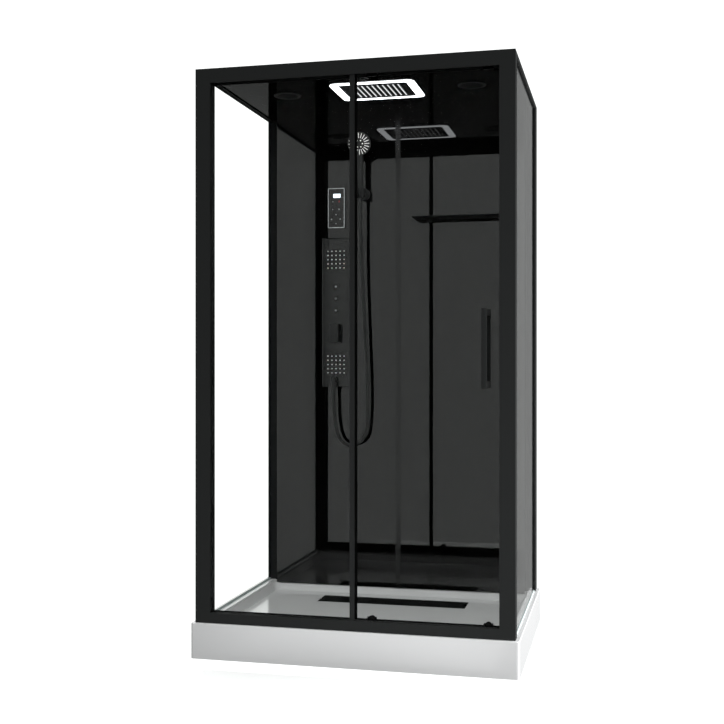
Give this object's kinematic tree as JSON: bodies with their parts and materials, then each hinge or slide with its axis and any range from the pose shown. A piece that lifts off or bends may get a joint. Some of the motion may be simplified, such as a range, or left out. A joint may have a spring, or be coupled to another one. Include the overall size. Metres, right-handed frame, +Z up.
{
  "type": "steam shower cabin",
  "caption": "Rectangular steam shower cabin: white tray, black frame, clear sliding door, gloss black back wall with shower column, control panel, shelf, and a lit rain-head ceiling.",
  "frame": {"origin": "on the floor, at the middle of the cabin's outline from door handle to back edge", "axes": "+Z up, +X to the right as seen from the door, +Y from the door into the cabin"},
  "size_m": [1.2, 0.918, 2.197],
  "materials": {
    "tray_acrylic": "gloss white sanitary acrylic",
    "black_aluminium": "fine satin black powder coat on aluminium",
    "clear_glass": "6 mm clear tempered glass",
    "black_glass": "back-painted black tempered glass, mirror gloss",
    "roof_black": "gloss black acrylic sheet",
    "column_black": "satin black lacquered panel",
    "black_abs": "moulded satin black ABS",
    "black_rubber": "soft black seal",
    "clear_seal": "translucent PVC",
    "white_silicone": "soft white silicone",
    "opal_diffuser": "opal acrylic diffuser, lit",
    "circuit_board": "white solder mask",
    "chrome_trim": "bright chrome plating",
    "display_window": "lit display behind a clear window",
    "panel_glass": "black glass front",
    "pvc_hose": "satin black PVC over a spiral liner",
    "brass": "cast brass, as turned",
    "steel_zinc": "zinc-plated steel",
    "stainless": "brushed stainless steel",
    "grey_pvc": "grey waste-pipe PVC",
    "paper_cone": "black polypropylene cone and basket",
    "white_nylon": "black acetal"
  },
  "bodies": {
    "root": {"shower_tray": "tray_acrylic", "waste_trap": "grey_pvc", "hair_strainer": "stainless", "levelling_feet": "steel_zinc", "tray_frame": "steel_zinc", "front_post_left": "black_aluminium", "front_post_right": "black_aluminium", "top_front_rail": "black_aluminium", "bottom_front_rail": "black_aluminium", "side_rails": "black_aluminium", "rear_posts": "black_aluminium", "rear_rails": "black_aluminium", "side_panes": "clear_glass", "side_seals": "black_rubber", "wall_panes": "black_glass", "wall_joint_strip": "black_aluminium", "fixed_pane": "clear_glass", "centre_profile": "black_aluminium", "roof_panel": "roof_black", "lamp_ring": "opal_diffuser", "lamp_board": "circuit_board", "rain_head": "black_abs", "rain_nozzles": "white_silicone", "ceiling_grilles": "black_abs", "speaker_driver": "paper_cone", "fan_housing": "black_abs", "column_body": "column_black", "body_jets": "white_silicone", "valve_block": "brass", "mixer_cartridge": "brass", "hose_elbow": "black_abs", "hose": "pvc_hose", "handset_holder": "black_abs", "control_housing": "panel_glass", "control_frame": "chrome_trim", "control_display": "display_window", "shelf": "black_aluminium", "shelf_brackets": "black_aluminium", "steam_generator": "stainless", "steam_outlet": "black_abs", "frame_screws": "stainless"},
    "door": {"door_pane": "clear_glass", "door_edge_profile": "black_aluminium", "door_seal": "clear_seal", "handle_bars": "black_aluminium", "handle_studs": "black_aluminium", "roller_carriers": "stainless"},
    "mixer_lever": {"mixer_lever": "black_abs"},
    "handset": {"hose_nut": "black_abs", "handset_body": "black_abs", "handset_face": "white_silicone"},
    "drain_cover": {"drain_cover": "black_aluminium"},
    "fan_rotor": {"fan_rotor": "black_abs"},
    "roller_top_left": {"roller_top_left": "white_nylon"},
    "roller_top_right": {"roller_top_right": "white_nylon"},
    "roller_bottom_left": {"roller_bottom_left": "white_nylon"},
    "roller_bottom_right": {"roller_bottom_right": "white_nylon"},
    "push_button_1": {"push_button_1": "black_abs"},
    "push_button_2": {"push_button_2": "black_abs"},
    "push_button_3": {"push_button_3": "black_abs"}
  },
  "joints": [
    {"name": "door_slide", "type": "slide", "parent": "root", "child": "door", "axis": [1, 0, 0], "range_m": [-0.44, 0]},
    {"name": "roller_top_left_spin", "type": "hinge", "parent": "door", "child": "roller_top_left", "pos_m": [0.0725, -0.389, 2.138], "axis": [0, 1, 0], "continuous": true},
    {"name": "roller_top_right_spin", "type": "hinge", "parent": "door", "child": "roller_top_right", "pos_m": [0.488, -0.389, 2.138], "axis": [0, 1, 0], "continuous": true},
    {"name": "roller_bottom_left_spin", "type": "hinge", "parent": "door", "child": "roller_bottom_left", "pos_m": [0.0725, -0.389, 0.175], "axis": [0, 1, 0], "continuous": true},
    {"name": "roller_bottom_right_spin", "type": "hinge", "parent": "door", "child": "roller_bottom_right", "pos_m": [0.488, -0.389, 0.175], "axis": [0, 1, 0], "continuous": true},
    {"name": "mixer_turn", "type": "hinge", "parent": "root", "child": "mixer_lever", "pos_m": [-0.2615, 0.337, 1.2105], "axis": [0, 1, 0], "range_deg": [-45, 45]},
    {"name": "button_1_press", "type": "slide", "parent": "root", "child": "push_button_1", "axis": [0, 1, 0], "range_m": [0, 0.0025], "stiffness_N_per_m": 1500},
    {"name": "button_2_press", "type": "slide", "parent": "root", "child": "push_button_2", "axis": [0, 1, 0], "range_m": [0, 0.0025], "stiffness_N_per_m": 1500},
    {"name": "button_3_press", "type": "slide", "parent": "root", "child": "push_button_3", "axis": [0, 1, 0], "range_m": [0, 0.0025], "stiffness_N_per_m": 1500},
    {"name": "handset_lift", "type": "slide", "parent": "root", "child": "handset", "axis": [0, 0, 1], "range_m": [0, 0.07]},
    {"name": "drain_cover_lift", "type": "slide", "parent": "root", "child": "drain_cover", "axis": [0, 0, 1], "range_m": [0, 0.06]},
    {"name": "fan_spin", "type": "hinge", "parent": "root", "child": "fan_rotor", "pos_m": [0.378, -0.029, 2.157], "axis": [0, 0, 1], "continuous": true}
  ],
  "couplings": [
    {"joint": "roller_top_left_spin", "follows": "door_slide", "rad_per_m": 100},
    {"joint": "roller_top_right_spin", "follows": "door_slide", "rad_per_m": 100},
    {"joint": "roller_bottom_left_spin", "follows": "door_slide", "rad_per_m": 100},
    {"joint": "roller_bottom_right_spin", "follows": "door_slide", "rad_per_m": 100}
  ]
}
